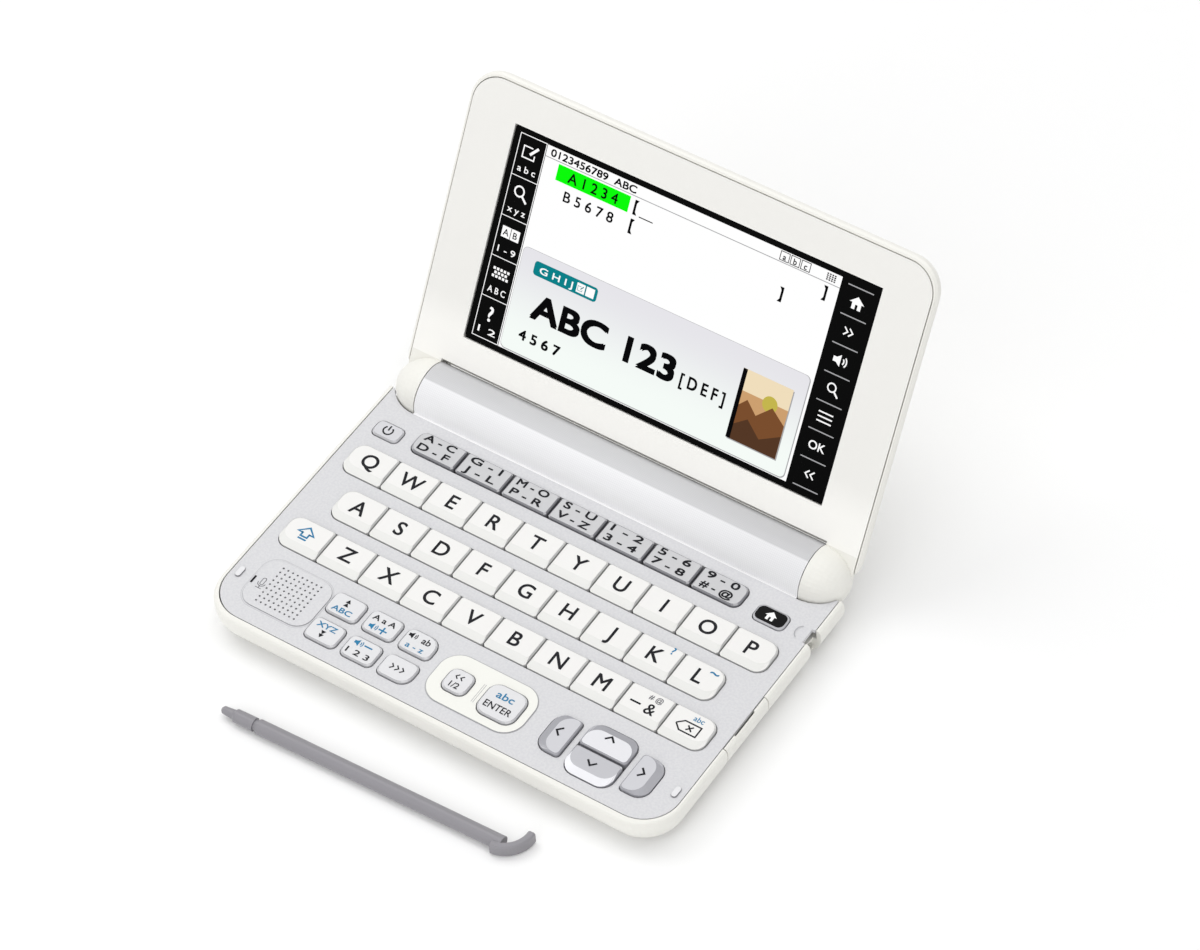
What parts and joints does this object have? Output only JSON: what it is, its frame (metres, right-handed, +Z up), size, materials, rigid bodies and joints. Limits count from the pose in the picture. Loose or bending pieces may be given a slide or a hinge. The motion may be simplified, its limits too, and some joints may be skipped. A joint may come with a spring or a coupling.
{
  "type": "electronic dictionary",
  "caption": "Folding electronic dictionary, open: keyboard base with a round hinge barrel, wide touch display in the lid, speaker grille, card and battery covers, and a stylus lying in front.",
  "frame": {"origin": "middle of the box round the open set, at the height of the table under the feet", "axes": "+Z up, +Y from the user towards the hinge, +X to the user's right"},
  "size_m": [0.146, 0.1652, 0.0899],
  "materials": {
    "cream_plastic": "satin",
    "silver_grey_plastic": "satin",
    "key_white": "satin",
    "key_silver": "satin",
    "key_satin_silver": "glossy",
    "key_black": "glossy",
    "display_black": "glossy",
    "stylus_grey": "matte",
    "hinge_steel": "brushed",
    "cell_sleeve": "satin"
  },
  "bodies": {
    "base": {"bottom_case": "cream_plastic", "keyboard_deck": "silver_grey_plastic", "friction_hinge": "hinge_steel", "aa_cells": "cell_sleeve"},
    "lid": {"lid_back_cover": "cream_plastic", "lid_bezel": "cream_plastic", "display_module": "display_black"},
    "battery_cover": {"battery_cover": "cream_plastic"},
    "card_slot_cover": {"card_slot_cover": "cream_plastic"},
    "stylus": {"stylus": "stylus_grey"},
    "key_q": {"key_q": "key_white"},
    "key_w": {"key_w": "key_white"},
    "key_e": {"key_e": "key_white"},
    "key_r": {"key_r": "key_white"},
    "key_t": {"key_t": "key_white"},
    "key_y": {"key_y": "key_white"},
    "key_u": {"key_u": "key_white"},
    "key_i": {"key_i": "key_white"},
    "key_o": {"key_o": "key_white"},
    "key_p": {"key_p": "key_white"},
    "key_a": {"key_a": "key_white"},
    "key_s": {"key_s": "key_white"},
    "key_d": {"key_d": "key_white"},
    "key_f": {"key_f": "key_white"},
    "key_g": {"key_g": "key_white"},
    "key_h": {"key_h": "key_white"},
    "key_j": {"key_j": "key_white"},
    "key_k": {"key_k": "key_white"},
    "key_l": {"key_l": "key_white"},
    "key_shift": {"key_shift": "key_white"},
    "key_z": {"key_z": "key_white"},
    "key_x": {"key_x": "key_white"},
    "key_c": {"key_c": "key_white"},
    "key_v": {"key_v": "key_white"},
    "key_b": {"key_b": "key_white"},
    "key_n": {"key_n": "key_white"},
    "key_m": {"key_m": "key_white"},
    "key_minus": {"key_minus": "key_white"},
    "key_delete": {"key_delete": "key_white"},
    "category_key_1": {"category_key_1": "key_silver"},
    "category_key_2": {"category_key_2": "key_silver"},
    "category_key_3": {"category_key_3": "key_silver"},
    "category_key_4": {"category_key_4": "key_silver"},
    "category_key_5": {"category_key_5": "key_silver"},
    "category_key_6": {"category_key_6": "key_silver"},
    "category_key_7": {"category_key_7": "key_silver"},
    "power_key": {"power_key": "key_silver"},
    "home_key": {"home_key": "key_black"},
    "key_heading_up": {"key_heading_up": "key_silver"},
    "key_volume_up": {"key_volume_up": "key_silver"},
    "key_voice": {"key_voice": "key_silver"},
    "key_heading_down": {"key_heading_down": "key_silver"},
    "key_volume_down": {"key_volume_down": "key_silver"},
    "key_jump": {"key_jump": "key_silver"},
    "key_back": {"key_back": "key_silver"},
    "key_enter": {"key_enter": "key_silver"},
    "arrow_up": {"arrow_up": "key_satin_silver"},
    "arrow_down": {"arrow_down": "key_satin_silver"},
    "arrow_left": {"arrow_left": "key_satin_silver"},
    "arrow_right": {"arrow_right": "key_satin_silver"}
  },
  "joints": [
    {"name": "lid_hinge", "type": "hinge", "parent": "base", "child": "lid", "pos_m": [0, 0.03108, 0.011], "axis": [1, 0, 0], "range_deg": [-28, 120.4]},
    {"name": "battery_cover_slide", "type": "slide", "parent": "base", "child": "battery_cover", "axis": [0, 1, 0], "range_m": [0, 0.02]},
    {"name": "card_slot_cover_hinge", "type": "hinge", "parent": "base", "child": "card_slot_cover", "pos_m": [0.0712, -0.01924, 0.0044], "axis": [0, 1, 0], "range_deg": [0, 75]},
    {"name": "stylus_lift", "type": "slide", "parent": "base", "child": "stylus", "axis": [0, 0, 1], "range_m": [0, 0.03]},
    {"name": "key_q_press", "type": "slide", "parent": "base", "child": "key_q", "axis": [0, 0, -1], "range_m": [0, 0.0008], "stiffness_N_per_m": 400, "springref_m": -0.0005},
    {"name": "key_w_press", "type": "slide", "parent": "base", "child": "key_w", "axis": [0, 0, -1], "range_m": [0, 0.0008], "stiffness_N_per_m": 400, "springref_m": -0.0005},
    {"name": "key_e_press", "type": "slide", "parent": "base", "child": "key_e", "axis": [0, 0, -1], "range_m": [0, 0.0008], "stiffness_N_per_m": 400, "springref_m": -0.0005},
    {"name": "key_r_press", "type": "slide", "parent": "base", "child": "key_r", "axis": [0, 0, -1], "range_m": [0, 0.0008], "stiffness_N_per_m": 400, "springref_m": -0.0005},
    {"name": "key_t_press", "type": "slide", "parent": "base", "child": "key_t", "axis": [0, 0, -1], "range_m": [0, 0.0008], "stiffness_N_per_m": 400, "springref_m": -0.0005},
    {"name": "key_y_press", "type": "slide", "parent": "base", "child": "key_y", "axis": [0, 0, -1], "range_m": [0, 0.0008], "stiffness_N_per_m": 400, "springref_m": -0.0005},
    {"name": "key_u_press", "type": "slide", "parent": "base", "child": "key_u", "axis": [0, 0, -1], "range_m": [0, 0.0008], "stiffness_N_per_m": 400, "springref_m": -0.0005},
    {"name": "key_i_press", "type": "slide", "parent": "base", "child": "key_i", "axis": [0, 0, -1], "range_m": [0, 0.0008], "stiffness_N_per_m": 400, "springref_m": -0.0005},
    {"name": "key_o_press", "type": "slide", "parent": "base", "child": "key_o", "axis": [0, 0, -1], "range_m": [0, 0.0008], "stiffness_N_per_m": 400, "springref_m": -0.0005},
    {"name": "key_p_press", "type": "slide", "parent": "base", "child": "key_p", "axis": [0, 0, -1], "range_m": [0, 0.0008], "stiffness_N_per_m": 400, "springref_m": -0.0005},
    {"name": "key_a_press", "type": "slide", "parent": "base", "child": "key_a", "axis": [0, 0, -1], "range_m": [0, 0.0008], "stiffness_N_per_m": 400, "springref_m": -0.0005},
    {"name": "key_s_press", "type": "slide", "parent": "base", "child": "key_s", "axis": [0, 0, -1], "range_m": [0, 0.0008], "stiffness_N_per_m": 400, "springref_m": -0.0005},
    {"name": "key_d_press", "type": "slide", "parent": "base", "child": "key_d", "axis": [0, 0, -1], "range_m": [0, 0.0008], "stiffness_N_per_m": 400, "springref_m": -0.0005},
    {"name": "key_f_press", "type": "slide", "parent": "base", "child": "key_f", "axis": [0, 0, -1], "range_m": [0, 0.0008], "stiffness_N_per_m": 400, "springref_m": -0.0005},
    {"name": "key_g_press", "type": "slide", "parent": "base", "child": "key_g", "axis": [0, 0, -1], "range_m": [0, 0.0008], "stiffness_N_per_m": 400, "springref_m": -0.0005},
    {"name": "key_h_press", "type": "slide", "parent": "base", "child": "key_h", "axis": [0, 0, -1], "range_m": [0, 0.0008], "stiffness_N_per_m": 400, "springref_m": -0.0005},
    {"name": "key_j_press", "type": "slide", "parent": "base", "child": "key_j", "axis": [0, 0, -1], "range_m": [0, 0.0008], "stiffness_N_per_m": 400, "springref_m": -0.0005},
    {"name": "key_k_press", "type": "slide", "parent": "base", "child": "key_k", "axis": [0, 0, -1], "range_m": [0, 0.0008], "stiffness_N_per_m": 400, "springref_m": -0.0005},
    {"name": "key_l_press", "type": "slide", "parent": "base", "child": "key_l", "axis": [0, 0, -1], "range_m": [0, 0.0008], "stiffness_N_per_m": 400, "springref_m": -0.0005},
    {"name": "key_shift_press", "type": "slide", "parent": "base", "child": "key_shift", "axis": [0, 0, -1], "range_m": [0, 0.0008], "stiffness_N_per_m": 400, "springref_m": -0.0005},
    {"name": "key_z_press", "type": "slide", "parent": "base", "child": "key_z", "axis": [0, 0, -1], "range_m": [0, 0.0008], "stiffness_N_per_m": 400, "springref_m": -0.0005},
    {"name": "key_x_press", "type": "slide", "parent": "base", "child": "key_x", "axis": [0, 0, -1], "range_m": [0, 0.0008], "stiffness_N_per_m": 400, "springref_m": -0.0005},
    {"name": "key_c_press", "type": "slide", "parent": "base", "child": "key_c", "axis": [0, 0, -1], "range_m": [0, 0.0008], "stiffness_N_per_m": 400, "springref_m": -0.0005},
    {"name": "key_v_press", "type": "slide", "parent": "base", "child": "key_v", "axis": [0, 0, -1], "range_m": [0, 0.0008], "stiffness_N_per_m": 400, "springref_m": -0.0005},
    {"name": "key_b_press", "type": "slide", "parent": "base", "child": "key_b", "axis": [0, 0, -1], "range_m": [0, 0.0008], "stiffness_N_per_m": 400, "springref_m": -0.0005},
    {"name": "key_n_press", "type": "slide", "parent": "base", "child": "key_n", "axis": [0, 0, -1], "range_m": [0, 0.0008], "stiffness_N_per_m": 400, "springref_m": -0.0005},
    {"name": "key_m_press", "type": "slide", "parent": "base", "child": "key_m", "axis": [0, 0, -1], "range_m": [0, 0.0008], "stiffness_N_per_m": 400, "springref_m": -0.0005},
    {"name": "key_minus_press", "type": "slide", "parent": "base", "child": "key_minus", "axis": [0, 0, -1], "range_m": [0, 0.0008], "stiffness_N_per_m": 400, "springref_m": -0.0005},
    {"name": "key_delete_press", "type": "slide", "parent": "base", "child": "key_delete", "axis": [0, 0, -1], "range_m": [0, 0.0008], "stiffness_N_per_m": 400, "springref_m": -0.0005},
    {"name": "category_key_1_press", "type": "slide", "parent": "base", "child": "category_key_1", "axis": [0, 0, -1], "range_m": [0, 0.0008], "stiffness_N_per_m": 400, "springref_m": -0.0005},
    {"name": "category_key_2_press", "type": "slide", "parent": "base", "child": "category_key_2", "axis": [0, 0, -1], "range_m": [0, 0.0008], "stiffness_N_per_m": 400, "springref_m": -0.0005},
    {"name": "category_key_3_press", "type": "slide", "parent": "base", "child": "category_key_3", "axis": [0, 0, -1], "range_m": [0, 0.0008], "stiffness_N_per_m": 400, "springref_m": -0.0005},
    {"name": "category_key_4_press", "type": "slide", "parent": "base", "child": "category_key_4", "axis": [0, 0, -1], "range_m": [0, 0.0008], "stiffness_N_per_m": 400, "springref_m": -0.0005},
    {"name": "category_key_5_press", "type": "slide", "parent": "base", "child": "category_key_5", "axis": [0, 0, -1], "range_m": [0, 0.0008], "stiffness_N_per_m": 400, "springref_m": -0.0005},
    {"name": "category_key_6_press", "type": "slide", "parent": "base", "child": "category_key_6", "axis": [0, 0, -1], "range_m": [0, 0.0008], "stiffness_N_per_m": 400, "springref_m": -0.0005},
    {"name": "category_key_7_press", "type": "slide", "parent": "base", "child": "category_key_7", "axis": [0, 0, -1], "range_m": [0, 0.0008], "stiffness_N_per_m": 400, "springref_m": -0.0005},
    {"name": "power_key_press", "type": "slide", "parent": "base", "child": "power_key", "axis": [0, 0, -1], "range_m": [0, 0.0008], "stiffness_N_per_m": 400, "springref_m": -0.0005},
    {"name": "home_key_press", "type": "slide", "parent": "base", "child": "home_key", "axis": [0, 0, -1], "range_m": [0, 0.0008], "stiffness_N_per_m": 400, "springref_m": -0.0005},
    {"name": "key_heading_up_press", "type": "slide", "parent": "base", "child": "key_heading_up", "axis": [0, 0, -1], "range_m": [0, 0.0008], "stiffness_N_per_m": 400, "springref_m": -0.0005},
    {"name": "key_volume_up_press", "type": "slide", "parent": "base", "child": "key_volume_up", "axis": [0, 0, -1], "range_m": [0, 0.0008], "stiffness_N_per_m": 400, "springref_m": -0.0005},
    {"name": "key_voice_press", "type": "slide", "parent": "base", "child": "key_voice", "axis": [0, 0, -1], "range_m": [0, 0.0008], "stiffness_N_per_m": 400, "springref_m": -0.0005},
    {"name": "key_heading_down_press", "type": "slide", "parent": "base", "child": "key_heading_down", "axis": [0, 0, -1], "range_m": [0, 0.0008], "stiffness_N_per_m": 400, "springref_m": -0.0005},
    {"name": "key_volume_down_press", "type": "slide", "parent": "base", "child": "key_volume_down", "axis": [0, 0, -1], "range_m": [0, 0.0008], "stiffness_N_per_m": 400, "springref_m": -0.0005},
    {"name": "key_jump_press", "type": "slide", "parent": "base", "child": "key_jump", "axis": [0, 0, -1], "range_m": [0, 0.0008], "stiffness_N_per_m": 400, "springref_m": -0.0005},
    {"name": "key_back_press", "type": "slide", "parent": "base", "child": "key_back", "axis": [0, 0, -1], "range_m": [0, 0.0008], "stiffness_N_per_m": 400, "springref_m": -0.0005},
    {"name": "key_enter_press", "type": "slide", "parent": "base", "child": "key_enter", "axis": [0, 0, -1], "range_m": [0, 0.0008], "stiffness_N_per_m": 400, "springref_m": -0.0005},
    {"name": "arrow_up_press", "type": "slide", "parent": "base", "child": "arrow_up", "axis": [0, 0, -1], "range_m": [0, 0.0008], "stiffness_N_per_m": 400, "springref_m": -0.0005},
    {"name": "arrow_down_press", "type": "slide", "parent": "base", "child": "arrow_down", "axis": [0, 0, -1], "range_m": [0, 0.0008], "stiffness_N_per_m": 400, "springref_m": -0.0005},
    {"name": "arrow_left_press", "type": "slide", "parent": "base", "child": "arrow_left", "axis": [0, 0, -1], "range_m": [0, 0.0008], "stiffness_N_per_m": 400, "springref_m": -0.0005},
    {"name": "arrow_right_press", "type": "slide", "parent": "base", "child": "arrow_right", "axis": [0, 0, -1], "range_m": [0, 0.0008], "stiffness_N_per_m": 400, "springref_m": -0.0005}
  ]
}
